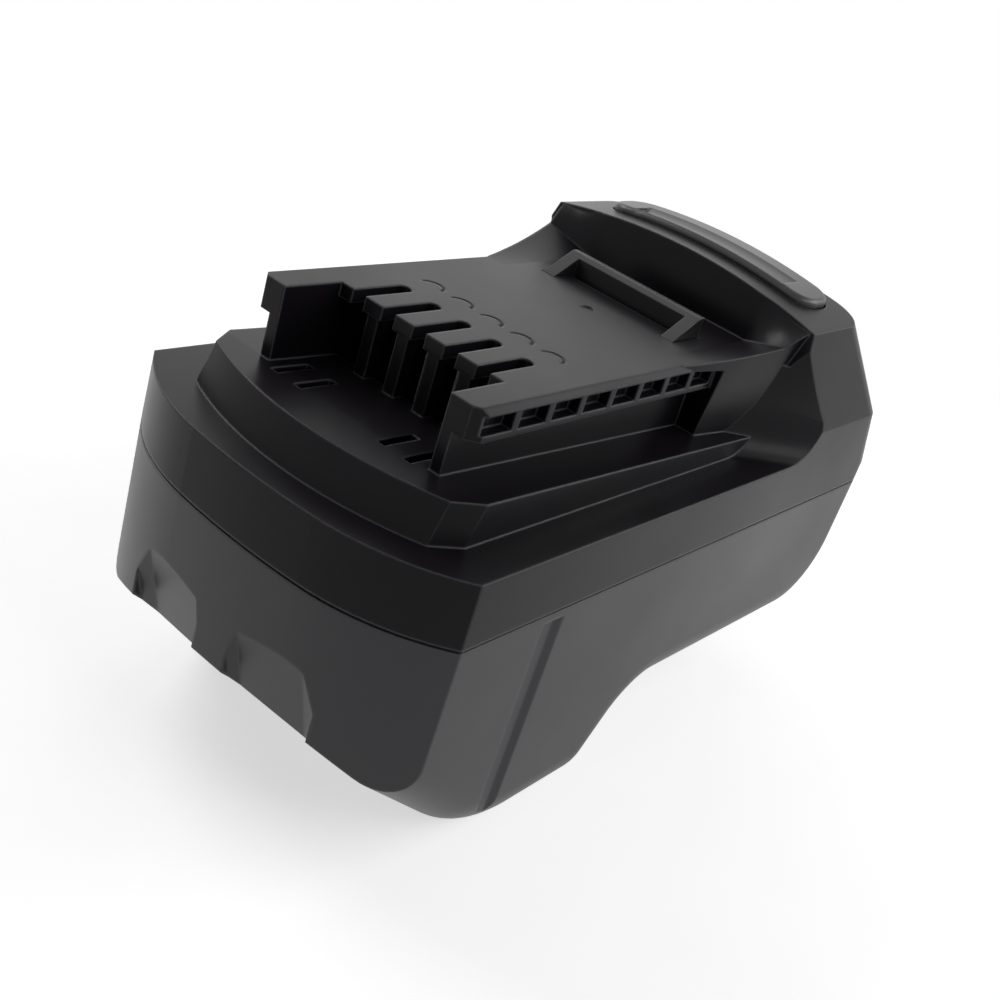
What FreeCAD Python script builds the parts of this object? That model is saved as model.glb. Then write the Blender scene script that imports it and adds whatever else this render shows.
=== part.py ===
import FreeCAD, Part
import math
import os
from FreeCAD import Vector as V

os.makedirs("parts", exist_ok=True)

# Cells and what holds them, millimetres: these set the size of the housing
cell_radius = 9.25
cell_length = 65.0
cell_pitch = 19.2
row_counts = (7, 6, 2)
first_cell = 22.2
bore_play = 0.1
holder_play = 0.2
holder_rim = 0.8
holder_grip = 10.1
holder_lip = 0.8
lip_hole_radius = 6.6
end_gap = 0.1
cap_radius = 2.9
cap_height = 1.0
strip_thickness = 0.3
strip_width = 6.0
tab_width = 4.0
insulator_gap = 0.15
insulator_thickness = 0.3
row_rise = cell_pitch * math.sqrt(0.75)
holder_radius = cell_radius + bore_play + holder_rim
holder_outer = cell_length / 2 + end_gap + holder_lip
holder_inner = holder_outer - holder_lip - holder_grip
strip_outer = holder_outer + strip_thickness

# Foam pads
foam_gap = 0.1
front_foam_half_width = 13.0
rear_foam_half_width = 20.0
rear_foam_thickness = 9.05
foam_low = 39.5
foam_high = 54.3

# Driving sizes of the housing
wall = 2.4
side_gap = 1.75
cell_floor_gap = 1.1
above_top_row = 3.095
half_width = strip_outer + insulator_gap + insulator_thickness + side_gap + wall
length = first_cell + (row_counts[0] - 1) * cell_pitch + cell_radius + rear_foam_thickness + foam_gap + wall
low_row_height = wall + cell_floor_gap + holder_radius
parting_z = low_row_height + (len(row_counts) - 1) * row_rise + above_top_row
bow_middle_radius = 140.0
bow_side_radius = 43.0
bow_middle_angle = 5.7
long_edge_radius = 8.0
ledge_height = 12.2
side_draft = 0.3
lip_height = 1.6
lip_thickness = 1.1
lip_gap = 0.15

# Side view of the bottom shell: distances behind the bow and heights above the underside
ramp_start = (-6.0, 32.0)
keel_front = 33.0
keel_rear = first_cell + row_counts[-1] * cell_pitch + 6.0
keel_rear_run = 11.0
rear_floor_gap = 1.2
rear_floor_fall = 1.3
step_height = low_row_height + row_rise - holder_radius - holder_play - wall - rear_floor_gap
keel_front_radius = 30.0
keel_rear_radius = 9.5
step_top_radius = 12.0
rear_turn_radius = 19.0

# Grip scoops and side channels of the bottom shell
scoop_inner = 3.8
scoop_outer = 22.0
scoop_slope = 3.2
scoop_depth_low = 6.6
scoop_depth_top = -0.5
scoop_top = 38.0
scoop_low = 14.0
ahead_of_bow = 6.0
channel_place = 31.4
channel_width = 7.6
channel_depth = 0.8
channel_slope = 2.6
seam_depth = 0.35
seam_height = 0.5

# Raised platform on the top shell
platform_front_height = 19.3
platform_rear_height = 15.6
platform_half_width = 29.8
platform_foot = 4.9
platform_lean = 3.5
platform_arc_half = 26.8
platform_arc_rise = 5.6
platform_facet_length = 5.2
platform_rear = 104.0
drain_length = 8.0
drain_width = 1.7
drain_front = 16.4
drain_places = (9.6, 15.2)

# Tool deck and its rails
deck_height = 32.4
deck_plate = 2.6
deck_half_width = 24.8
deck_bevel = 1.0
deck_front = 18.0
deck_corner = 2.0
cutter_height = 40.0
flange_height = 5.6
flange_rear = 88.0
web_outer = 20.6
web_thickness = 2.2
window_front = 19.6
window_pitch = 8.5
window_length = 7.1
window_height = 3.2
window_below_top = 1.3
window_depth = 2.2
window_count = 8

# Contact slots, fingers and ribs
contact_count = 5
slot_pitch = 7.04
slot_width = 2.9
finger_tip = 30.4
slot_end = 42.4
rib_width = 2.5
rib_front = 31.0
chamber_rear = 50.0
chamber_front = 33.4
arc_place = 48.0
arc_radius = 2.2
arc_width = 0.6
arc_depth = 0.4
gate_place = 77.0
gate_radius = 1.3
gate_depth = 0.3

# Hump at the rear
hump_foot = 104.9
hump_crest = 106.6
crest_height = 43.3
crown_radius = 146.3
facet_low = 18.6
facet_lean = 0.252
rear_lean_start = 5.0
rear_at_facet = length - 7.0
rear_slope = 0.93
section_reach = 30.0
space_top = 60.0
sweep_inner_start = 80.3
sweep_inner_end = (90.4, 25.6)
sweep_inner_top = (95.0, 43.3)
sweep_outer_start = 111.0
sweep_outer_end = (120.9, 20.5)
sweep_outer_top = (107.0, 41.0)
sweep_inner_x = 20.0
sweep_outer_x = 39.0
wing_outer_x = 34.0
wing_front = 75.0
wing_middle = (29.2, 91.5)
wing_corner_x = 32.7
wing_edge_rise = (100.0, 37.4)
wing_foot_middle = (24.9, 92.0)
wing_foot_x = 26.5
wing_rear = 116.0
wing_over = 0.5
wing_cover = 0.4

# Latch, release button and springs
latch_half_width = 16.1
latch_leg = 2.7
latch_tip = 83.2
latch_bar_front = 90.0
latch_bar_rear = 92.6
latch_height = 4.1
latch_play = 0.3
latch_window_front = 88.4
button_travel = 4.5
button_half_length = 26.0
button_front = 113.6
button_rear = 126.4
button_proud = 1.6
button_play = 0.35
button_corner = 5.0
button_edge = 1.2
button_skirt = button_travel + 2.5
button_wall = 2.0
button_post = (12.0, 120.0)
button_post_radius = 3.0
post_gap = 0.05
groove_radius = 8.0
groove_depth = 0.7
groove_half_length = 19.0
groove_place = 117.4
carrier_top = 25.5
carrier_thickness = 3.0
carrier_wide_front = 118.2
carrier_rear = 128.6
carrier_half_width = 31.0
stop_place = (10.0, 110.0)
stop_radius = 2.2
stop_gap = 0.3
spring_radius = 2.9
spring_wire = 0.7
spring_turns = 5
spring_place = (27.5, 124.4)
spring_seat = 10.6
spring_pin_radius = 2.1
spring_pin_height = 2.0
spring_post_radius = 3.4

# Electronics
board_height = 9.0
board_thickness = 1.6
board_half_width = 26.6
board_front = 18.0
board_rear = 121.0
board_notch = (22.0, 114.0)
pillar_radius = 1.4
pillar_inset = 2.0
pillar_gaps = (0, 2, 4)
block_half_width = 17.0
block_front = 33.8
block_rear = 49.4
block_top = platform_rear_height - 0.4
fork_front = 35.0
fork_rear = 46.0
fork_headroom = 1.6
fork_height = deck_height - deck_plate - fork_headroom - block_top
fork_base = 1.0
fork_lead = 3.0
fork_thickness = 0.6
fork_gap = 0.9
fork_pin = 1.2
pin_play = 0.15
sensor_radius = 1.6
sensor_lead_radius = 0.5

# Screws
screw_radius = 1.5
screw_head_radius = 2.8
screw_head_height = 2.0
screw_clearance = 0.2
screw_seat = 38.0
screw_engagement = 8.0
boss_radius = 3.4
front_screw = (20.0, 8.6)
rear_screw = (27.5, length - 6.0)

front_y = -length / 2
EPS = 0.01


def yv(distance):
    """Place along Y of a distance behind the tip of the bow."""
    return front_y + distance


def zv(height):
    """Place along Z of a height above the parting line."""
    return parting_z + height


def line(a, b):
    return Part.LineSegment(a, b).toShape()


def arc(a, b, c):
    return Part.Arc(a, b, c).toShape()


def closed_wire(corners, place):
    """Closed wire through (u, v, radius) corners, each rounded by its radius."""
    count = len(corners)
    cuts = []
    for i in range(count):
        u, v, radius = corners[i]
        here = V(u, v, 0)
        before = V(corners[i - 1][0], corners[i - 1][1], 0) - here
        after = V(corners[(i + 1) % count][0], corners[(i + 1) % count][1], 0) - here
        before.normalize()
        after.normalize()
        if radius <= 0:
            cuts.append((here, None, here))
            continue
        half = before.getAngle(after) / 2
        reach = radius / math.tan(half)
        middle = before + after
        middle.normalize()
        centre = here + middle * (radius / math.sin(half))
        cuts.append((here + before * reach, centre - middle * radius, here + after * reach))
    edges = []
    for i in range(count):
        start, top, end = cuts[i]
        following = cuts[(i + 1) % count][0]
        if top is not None:
            edges.append(arc(place(start), place(top), place(end)))
        if (following - end).Length > 1e-6:
            edges.append(line(place(end), place(following)))
    return Part.Wire(edges)


def in_yz(x):
    return lambda p: V(x, p.x, p.y)


def in_xy(z):
    return lambda p: V(p.x, p.y, z)


def in_xz(y):
    return lambda p: V(p.x, y, p.y)


def prism(wire, direction):
    return Part.Face(wire).extrude(direction)


def block(x0, x1, y0, y1, z0, z1):
    return Part.makeBox(x1 - x0, y1 - y0, z1 - z0, V(x0, y0, z0))


def mirrored(shape):
    return shape.mirror(V(0, 0, 0), V(1, 0, 0))


def both_sides(shape):
    return [shape, mirrored(shape)]


def cut_all(shape, tools):
    for tool in tools:
        shape = shape.cut(tool)
    return shape


def fuse_all(shapes):
    result = shapes[0]
    if len(shapes) > 1:
        result = result.multiFuse(shapes[1:])
    return result.removeSplitter()


def save(name, shape):
    shape.exportStep("parts/" + name + ".step")
    return shape


# Plan outline of the housing: a bow of three arcs in front, straight sides, rounded rear corners
def plan_wire(inset, z):
    angle = math.radians(bow_middle_angle)
    middle = V(0, front_y + bow_middle_radius, 0)
    step = bow_middle_radius - bow_side_radius
    side = V(math.sin(angle) * step, middle.y - math.cos(angle) * step, 0)
    radius = bow_side_radius - inset
    x_side = half_width - inset
    y_side = side.y - math.sqrt(radius ** 2 - (x_side - side.x) ** 2)
    joint = middle + V(math.sin(angle), -math.cos(angle), 0) * (bow_middle_radius - inset)
    end_angle = math.atan2(y_side - side.y, x_side - side.x)
    between = (angle - math.pi / 2 + end_angle) / 2
    halfway = side + V(math.cos(between), math.sin(between), 0) * radius
    rear_y = -front_y - inset
    turn = long_edge_radius - inset
    square = turn * (1 - math.sqrt(0.5))

    def at(x, y):
        return V(x, y, z)

    return Part.Wire([
        arc(at(-joint.x, joint.y), at(0, front_y + inset), at(joint.x, joint.y)),
        arc(at(joint.x, joint.y), at(halfway.x, halfway.y), at(x_side, y_side)),
        line(at(x_side, y_side), at(x_side, rear_y - turn)),
        arc(at(x_side, rear_y - turn), at(x_side - square, rear_y - square), at(x_side - turn, rear_y)),
        line(at(x_side - turn, rear_y), at(turn - x_side, rear_y)),
        arc(at(turn - x_side, rear_y), at(square - x_side, rear_y - square), at(-x_side, rear_y - turn)),
        line(at(-x_side, rear_y - turn), at(-x_side, y_side)),
        arc(at(-x_side, y_side), at(-halfway.x, halfway.y), at(-joint.x, joint.y)),
    ])


def screw_places():
    """Screw places as (x, y), one pair in the bow and one pair at the rear wall."""
    return [(side * x, yv(distance)) for x, distance in (front_screw, rear_screw) for side in (1, -1)]


# Housing below the parting line: side view, as wide as the housing, with rounded long edges
def lower_body(inset):
    side = half_width - inset
    top = parting_z
    corners = [
        (ramp_start[0], top + inset, 0),
        (ramp_start[0], ramp_start[1], 0),
        (keel_front, 0.0, keel_front_radius),
        (keel_rear, 0.0, keel_rear_radius),
        (keel_rear + keel_rear_run, step_height, step_top_radius),
        (length, step_height - rear_floor_fall, rear_turn_radius),
        (length, top + inset, 0),
    ]
    wire = closed_wire([(yv(d), h, r) for d, h, r in corners], in_yz(-side))
    if inset:
        wire = wire.makeOffset2D(-inset)
    body = prism(wire, V(2 * side, 0, 0))
    front = yv(ramp_start[0]) + inset
    long_edges = []
    for edge in body.Edges:
        box = edge.BoundBox
        on_side = box.XLength < EPS and abs(abs(box.XMin) - side) < EPS
        at_front = box.YMax < front + EPS
        at_top = box.ZMin > top - EPS
        if on_side and not at_front and not at_top:
            long_edges.append(edge)
    body = body.makeFillet(long_edge_radius - inset, long_edges)
    return body.common(prism(plan_wire(inset, -5), V(0, 0, top + 5)))


# Grip scoops in the front lip of the bottom shell, deepest at the lower edge
def grip_scoop(offset):
    def ring(z, depth):
        reach = yv(depth + offset)
        corners = [
            (scoop_inner - offset, yv(-ahead_of_bow), 0),
            (scoop_outer + offset, yv(-ahead_of_bow), 0),
            (scoop_outer + offset, reach + scoop_slope * 0.2, 0),
            (scoop_outer - scoop_slope, reach + scoop_slope * 0.5, 0),
            (scoop_inner + scoop_slope * 0.4, reach, 0),
            (scoop_inner - offset, reach - scoop_slope * 0.4, 0),
        ]
        return closed_wire(corners, in_xy(z))

    return Part.makeLoft([ring(scoop_low, scoop_depth_low), ring(scoop_top, scoop_depth_top)], True, True)


# Shallow upright channel on each side of the bottom shell
def side_channel():
    y0 = yv(channel_place)
    y1 = y0 + channel_width
    floor_x = half_width - channel_depth
    corners = [
        (floor_x, y0 + channel_slope, 0),
        (half_width + 1, y0 - channel_slope * 0.4, 0),
        (half_width + 1, y1 + channel_slope * 0.4, 0),
        (floor_x, y1 - channel_slope, 0),
    ]
    return prism(closed_wire(corners, in_xy(-1.0)), V(0, 0, parting_z - 0.5))


def bottom_shell():
    outer = lower_body(0.0)
    scoops = both_sides(grip_scoop(0.0))
    inner = cut_all(lower_body(wall), both_sides(grip_scoop(wall)))
    shell = cut_all(outer.cut(inner), scoops + both_sides(side_channel()))
    solid = cut_all(outer, scoops)
    posts = [Part.makeCylinder(boss_radius, parting_z, V(x, y, 0)).common(solid) for x, y in screw_places()]
    lip = prism(plan_wire(wall - lip_thickness, parting_z - 2 * lip_height), V(0, 0, 3 * lip_height))
    lip = lip.cut(prism(plan_wire(wall, parting_z - 2 * lip_height), V(0, 0, 3 * lip_height)))
    shell = fuse_all([shell, lip] + posts)
    for x, y in screw_places():
        shell = shell.cut(Part.makeCylinder(screw_radius + screw_clearance, 2 * parting_z, V(x, y, -5)))
        head = screw_head_radius + screw_clearance
        shell = shell.cut(Part.makeCylinder(head, screw_seat + 5, V(x, y, -5)))
    return shell


# Rim of the top shell: from the parting line up to the ledge, with a little draft
def draft_at(height):
    return side_draft * height / facet_low


def rim(inset, height):
    low = plan_wire(inset, parting_z)
    high = plan_wire(inset + draft_at(height), zv(height))
    body = Part.makeLoft([low, high], True, True)
    return body.common(block(-half_width, half_width, yv(-1), yv(hump_crest + 14), 0, zv(height)))


# Raised platform: bow front that leans back, a small facet at each corner, a top that falls to the rear
def platform_wire(z, foot, inset):
    side = platform_half_width - inset
    half = platform_arc_half - inset
    tip = yv(foot + inset)
    arc_y = yv(foot + platform_arc_rise + inset)
    facet_y = arc_y + platform_facet_length
    rear_y = yv(platform_rear)
    return Part.Wire([
        arc(V(-half, arc_y, z), V(0, tip, z), V(half, arc_y, z)),
        line(V(half, arc_y, z), V(side, facet_y, z)),
        line(V(side, facet_y, z), V(side, rear_y, z)),
        line(V(side, rear_y, z), V(-side, rear_y, z)),
        line(V(-side, rear_y, z), V(-side, facet_y, z)),
        line(V(-side, facet_y, z), V(-half, arc_y, z)),
    ])


def platform(inset):
    low = platform_wire(zv(ledge_height - wall), platform_foot, inset)
    high = platform_wire(zv(platform_front_height), platform_foot + platform_lean, inset)
    body = Part.makeLoft([low, high], True, True)
    front_top = zv(platform_front_height) - inset
    rear_top = zv(platform_rear_height) - inset
    above = closed_wire([
        (yv(deck_front), front_top, 0),
        (yv(platform_rear + 5), rear_top, 0),
        (yv(platform_rear + 5), front_top + 20, 0),
        (yv(-5), front_top + 20, 0),
        (yv(-5), front_top, 0),
    ], in_yz(-half_width))
    return body.cut(prism(above, V(2 * half_width, 0, 0)))


# Hump: plan sections with rounded rear corners, drawn in towards the top, under a crowned roof
def hump_section(height, inset):
    if height <= facet_low:
        half = half_width - draft_at(height)
    else:
        half = half_width - side_draft - facet_lean * (height - facet_low)
    if height <= rear_lean_start:
        rear = length
    elif height <= facet_low:
        share = (height - rear_lean_start) / (facet_low - rear_lean_start)
        rear = length + share * (rear_at_facet - length)
    else:
        rear = rear_at_facet - rear_slope * (height - facet_low)
    half -= inset
    rear_y = yv(rear) - inset
    front = yv(hump_foot - section_reach)
    turn = long_edge_radius - inset
    square = turn * (1 - math.sqrt(0.5))
    z = zv(height)
    return Part.Wire([
        line(V(-half, front, z), V(half, front, z)),
        line(V(half, front, z), V(half, rear_y - turn, z)),
        arc(V(half, rear_y - turn, z), V(half - square, rear_y - square, z), V(half - turn, rear_y, z)),
        line(V(half - turn, rear_y, z), V(turn - half, rear_y, z)),
        arc(V(turn - half, rear_y, z), V(square - half, rear_y - square, z), V(-half, rear_y - turn, z)),
        line(V(-half, rear_y - turn, z), V(-half, front, z)),
    ])


def tangent_halfway(start, end):
    """Middle point of the arc that leaves start level and rises to end."""
    run = end[0] - start[0]
    rise = end[1] - start[1]
    radius = (run ** 2 + rise ** 2) / (2 * rise)
    angle = math.asin(min(run / radius, 1.0)) / 2
    return start[0] + radius * math.sin(angle), start[1] + radius * (1 - math.cos(angle))


# Space in front of the hump beside the deck: a scooped run-out of the rail channels
def run_out(inset):
    back = inset * 1.1

    def ring(x, start, end, top):
        floor = ledge_height - inset
        low = (start + inset, floor)
        high = (end[0] + back, end[1])
        middle = tangent_halfway(low, high)

        def p(point):
            return V(x, yv(point[0]), zv(point[1]))

        return Part.Wire([
            line(p((section_reach, floor)), p(low)),
            arc(p(low), p(middle), p(high)),
            line(p(high), p((top[0] + back, top[1]))),
            line(p((top[0] + back, top[1])), p((top[0] + back, space_top))),
            line(p((top[0] + back, space_top)), p((section_reach, space_top))),
            line(p((section_reach, space_top)), p((section_reach, floor))),
        ])

    inner = ring(sweep_inner_x, sweep_inner_start, sweep_inner_end, sweep_inner_top)
    outer = ring(sweep_outer_x, sweep_outer_start, sweep_outer_end, sweep_outer_top)
    return Part.makeLoft([inner, outer], True, True)


def front_space(inset):
    """Spaces in front of the hump: round the deck, and over the full width above it."""
    back = inset
    corners = [
        (yv(section_reach), zv(ledge_height), 0),
        (yv(hump_foot) + back, zv(ledge_height), 0),
        (yv(hump_foot) + back, zv(deck_height), 0),
        (yv(hump_crest) + back, zv(crest_height), 0),
        (yv(hump_crest) + back, zv(space_top), 0),
        (yv(section_reach), zv(space_top), 0),
    ]
    half = sweep_inner_x + wing_cover
    middle = prism(closed_wire(corners, in_yz(-half)), V(2 * half, 0, 0))
    low = zv(deck_height) - inset - wing_cover
    corners = [(y + wing_cover, max(z, low), 0) for y, z, radius in corners]
    corners.pop(2)
    start = sweep_inner_x + wing_cover / 2
    beside = prism(closed_wire(corners, in_yz(start)), V(sweep_outer_x - start, 0, 0))
    return [middle] + both_sides(beside)


def crown(inset, front, rear):
    radius = crown_radius - inset
    centre_z = zv(crest_height) - crown_radius
    half = half_width + 2
    edge_z = centre_z + math.sqrt(radius ** 2 - half ** 2)
    y = yv(front)
    wire = Part.Wire([
        line(V(-half, y, 0), V(half, y, 0)),
        line(V(half, y, 0), V(half, y, edge_z)),
        arc(V(half, y, edge_z), V(0, y, centre_z + radius), V(-half, y, edge_z)),
        line(V(-half, y, edge_z), V(-half, y, 0)),
    ])
    return prism(wire, V(0, rear - front, 0))


def hump(inset):
    top = crest_height + 5
    sections = [hump_section(h, inset) for h in (0, rear_lean_start, facet_low, top)]
    body = Part.makeLoft(sections, True, True)
    body = body.common(crown(inset, 50, length + 5))
    return cut_all(body, front_space(inset) + both_sides(run_out(inset)))


def crown_height(x):
    return crest_height - crown_radius + math.sqrt(crown_radius ** 2 - x ** 2)


# Flare between the deck edge and the crest corner: flat deck and upright wall at its inner side, one rising
# line at its outer side
def wing():
    """Wing at the +X side, above the run-out and clear of the rail windows."""
    shelf = deck_height - window_below_top + 0.1
    inner_top = crown_height(sweep_inner_x) + wing_over
    outer_top = crown_height(wing_outer_x)
    wall_lean = (hump_crest - hump_foot) / (crest_height - deck_height)
    edge_lean = (hump_crest - wing_edge_rise[0]) / (outer_top - wing_edge_rise[1])
    inner = [
        (wing_front, deck_height),
        (hump_foot, deck_height),
        (hump_foot + (inner_top - deck_height) * wall_lean, inner_top),
        (wing_rear, inner_top),
        (wing_rear, ledge_height),
        (flange_rear, ledge_height),
        (flange_rear - 1, shelf),
        (wing_front, shelf),
    ]
    outer = [
        (wing_front, deck_height),
        wing_edge_rise,
        (hump_crest + wing_over * edge_lean, outer_top + wing_over),
        (wing_rear - 3, outer_top + wing_over),
        (wing_rear - 3, ledge_height),
        (flange_rear, ledge_height),
        (flange_rear - 1, shelf),
        (wing_front, shelf),
    ]
    rings = []
    for x, points in ((sweep_inner_x, inner), (wing_outer_x, outer)):
        rings.append(closed_wire([(yv(d), zv(h), 0) for d, h in points], in_yz(x)))
    body = Part.makeLoft(rings, True, True)

    def plan(height, start_x, middle, corner_x):
        z = zv(height)
        start = V(start_x, yv(wing_front), z)
        corner = V(corner_x, yv(hump_crest), z)
        rear = V(corner_x, yv(wing_rear), z)
        inner_rear = V(sweep_inner_x, rear.y, z)
        inner_front = V(sweep_inner_x, start.y, z)
        return Part.Wire([
            arc(start, V(middle[0], yv(middle[1]), z), corner),
            line(corner, rear),
            line(rear, inner_rear),
            line(inner_rear, inner_front),
            line(inner_front, start),
        ])

    side = Part.makeLoft([
        plan(ledge_height, deck_half_width - 0.2, wing_foot_middle, wing_foot_x),
        plan(crest_height, deck_half_width - deck_bevel, wing_middle, wing_corner_x),
    ], True, True)
    return body.common(side).common(crown(0.0, wing_front, wing_rear))


# Tool deck: plate, side webs and rail flanges with their windows
def deck_plate_solid():
    half = deck_half_width
    low = zv(deck_height - deck_plate)
    bevel_low = zv(deck_height) - deck_bevel
    corners = [
        (-half, bevel_low, 0),
        (-half + deck_bevel, zv(deck_height), 0),
        (half - deck_bevel, zv(deck_height), 0),
        (half, bevel_low, 0),
        (half, low, 0),
        (-half, low, 0),
    ]
    plate = prism(closed_wire(corners, in_xz(yv(deck_front))), V(0, hump_crest - deck_front, 0))
    tab_inner = web_outer - web_thickness
    mouth = closed_wire([
        (-tab_inner, yv(deck_front - 1), 0),
        (tab_inner, yv(deck_front - 1), 0),
        (tab_inner, yv(finger_tip), 0),
        (-tab_inner, yv(finger_tip), 0),
    ], in_xy(zv(ledge_height)))
    plate = plate.cut(prism(mouth, V(0, 0, cutter_height)))
    for k in range(contact_count):
        x = slot_x(k)
        half = slot_width / 2
        slot = closed_wire([
            (x - half, yv(finger_tip - 1), 0),
            (x + half, yv(finger_tip - 1), 0),
            (x + half, yv(slot_end), half * 0.99),
            (x - half, yv(slot_end), half * 0.99),
        ], in_xy(zv(ledge_height)))
        plate = plate.cut(prism(slot, V(0, 0, cutter_height)))
    return plate


def slot_x(k):
    return (k - (contact_count - 1) / 2) * slot_pitch


def finger_x(k):
    return (k - (contact_count - 2) / 2) * slot_pitch


def rail():
    """Web and flange at the +X side."""
    low = zv(deck_height - flange_height)
    flange = block(web_outer - web_thickness, deck_half_width, yv(deck_front), yv(flange_rear),
                   low, zv(deck_height) - deck_bevel)
    web = block(web_outer - web_thickness, web_outer, yv(deck_front), yv(hump_crest),
                zv(platform_rear_height - wall), zv(deck_height) - deck_bevel)
    return flange.fuse(web)


def rail_cuts():
    """Windows, open front end and corner cut of the +X rail."""
    cuts = []
    top = zv(deck_height) - window_below_top
    for k in range(window_count):
        y = yv(window_front + k * window_pitch)
        cuts.append(block(deck_half_width - window_depth, deck_half_width + 1, y, y + window_length,
                          top - window_height, top))
    reach = deck_corner
    corner = closed_wire([
        (deck_half_width - reach, yv(deck_front) - 1, 0),
        (deck_half_width + 1, yv(deck_front) - 1, 0),
        (deck_half_width + 1, yv(deck_front) + reach, 0),
        (deck_half_width, yv(deck_front) + reach, 0),
        (deck_half_width - reach, yv(deck_front), 0),
    ], in_xy(zv(deck_height - flange_height - 1)))
    cuts.append(prism(corner, V(0, 0, 2 * flange_height)))
    return cuts


def finger_ribs():
    ribs = []
    for k in range(contact_count - 1):
        x = finger_x(k)
        ribs.append(block(x - rib_width / 2, x + rib_width / 2, yv(rib_front), yv(chamber_rear),
                          zv(platform_rear_height), zv(deck_height) - deck_plate / 2))
    inner = web_outer - web_thickness
    ribs.append(block(-inner, inner, yv(chamber_rear), yv(chamber_rear) + wall,
                      zv(platform_rear_height - wall), zv(deck_height) - deck_plate / 2))
    return ribs


def arc_grooves():
    grooves = []
    for k in range(contact_count):
        base = V(slot_x(k), yv(arc_place), zv(deck_height) - arc_depth)
        ring = Part.makeCylinder(arc_radius + arc_width / 2, 2 * arc_depth, base)
        ring = ring.cut(Part.makeCylinder(arc_radius - arc_width / 2, 2 * arc_depth, base))
        behind = block(base.x - 5, base.x + 5, base.y, base.y + 5, base.z - 1, base.z + 3)
        grooves.append(ring.common(behind))
    return grooves


def latch_window():
    """Opening in the deck for the latch bar and its two legs."""
    play = latch_play
    half = latch_half_width + play
    low = zv(platform_rear_height)
    high = zv(deck_height) + 1
    bar = block(-half, half, yv(latch_window_front), yv(latch_bar_rear) + play, low, high)
    legs = [block(side_a, side_b, yv(latch_tip) - play, yv(latch_bar_rear), low, high)
            for side_a, side_b in ((latch_half_width - latch_leg - play, half),
                                   (-half, play + latch_leg - latch_half_width))]
    return bar.fuse(legs[0]).fuse(legs[1])


def button_outline(play, z):
    half = button_half_length + play
    corner = button_corner + play
    return closed_wire([
        (-half, yv(button_front) - play, corner),
        (half, yv(button_front) - play, corner),
        (half, yv(button_rear) + play, corner),
        (-half, yv(button_rear) + play, corner),
    ], in_xy(z))


def top_shell():
    tab_inner = web_outer - web_thickness
    outer = fuse_all([
        rim(0.0, ledge_height),
        platform(0.0),
        hump(0.0),
        deck_plate_solid(),
        rail(),
        mirrored(rail()),
        wing(),
        mirrored(wing()),
    ])
    low = zv(-1.0)
    rim_space = rim(wall, ledge_height - wall)
    platform_space = platform(wall)
    deck_space = block(-tab_inner, tab_inner, yv(chamber_rear) + wall, yv(hump_crest) + wall,
                       low, zv(deck_height - deck_plate))
    below_deck = block(-tab_inner, tab_inner, yv(chamber_front), yv(chamber_rear) + wall,
                       low, zv(platform_front_height) + 1)
    shell = cut_all(outer, [rim_space, platform_space, hump(wall), deck_space, below_deck])
    shell = fuse_all([shell] + finger_ribs())
    bosses = [Part.makeCylinder(boss_radius, ledge_height - wall / 2, V(x, y, parting_z))
              for x, y in screw_places()]
    stop_x, stop_y = stop_place
    stops = [Part.makeCylinder(stop_radius, crest_height - wall / 2 - carrier_top - stop_gap,
                               V(side * stop_x, yv(stop_y), zv(carrier_top + stop_gap))) for side in (1, -1)]
    housing = fuse_all([rim(0.0, ledge_height), hump(0.0)])
    shell = fuse_all([shell] + [boss.common(housing) for boss in bosses + stops])
    groove_rise = V(0, 0, 1 + lip_height + lip_gap)
    lip_space = prism(plan_wire(wall - lip_thickness - lip_gap, parting_z - 1), groove_rise)
    lip_space = lip_space.cut(prism(plan_wire(wall + lip_gap, parting_z - 1), groove_rise))
    seam = prism(plan_wire(-1.0, parting_z), V(0, 0, seam_height))
    seam = seam.cut(prism(plan_wire(seam_depth, parting_z), V(0, 0, seam_height)))
    cuts = [lip_space, seam, latch_window()]
    cuts += both_sides(fuse_all(rail_cuts()))
    cuts += arc_grooves()
    cuts.append(Part.makeCylinder(gate_radius, 2, V(0, yv(gate_place), zv(deck_height) - gate_depth)))
    cuts.append(prism(button_outline(button_play, zv(facet_low + 5)), V(0, 0, 30)))
    for x in drain_places:
        for side in (1, -1):
            middle = side * x
            cuts.append(block(middle - drain_width / 2, middle + drain_width / 2, yv(drain_front),
                              yv(drain_front + drain_length), zv(ledge_height), zv(deck_height)))
    for x, y in screw_places():
        cuts.append(Part.makeCylinder(screw_radius, screw_engagement + 1, V(x, y, parting_z - 0.5)))
    return cut_all(shell, cuts)


# Cell places as rows of (distance, height) points, nested like balls in a tray
def cell_rows():
    rows = []
    for level, count in enumerate(row_counts):
        start = first_cell + level * cell_pitch / 2
        height = low_row_height + (len(row_counts) - 1 - level) * row_rise
        rows.append([(start + k * cell_pitch, height) for k in range(count)])
    return rows


def cell_axis(point, x):
    return V(x, yv(point[0]), point[1])


def disc(point, radius, x, thickness):
    return Part.makeCylinder(radius, thickness, cell_axis(point, x), V(1, 0, 0))


# Groups of three cells side by side; each entry is (row, place)
groups = [
    [(2, 0), (1, 0), (0, 0)],
    [(0, 1), (1, 1), (2, 1)],
    [(0, 2), (1, 2), (0, 3)],
    [(1, 3), (0, 4), (1, 4)],
    [(0, 5), (1, 5), (0, 6)],
]


def cell_solid(point, plus_side):
    body = cell_length - cap_height
    can = Part.makeCylinder(cell_radius, body, cell_axis(point, -cell_length / 2), V(1, 0, 0))
    cap = Part.makeCylinder(cap_radius, cap_height, cell_axis(point, cell_length / 2 - cap_height), V(1, 0, 0))
    cell = can.fuse(cap)
    return cell if plus_side > 0 else mirrored(cell)


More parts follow.
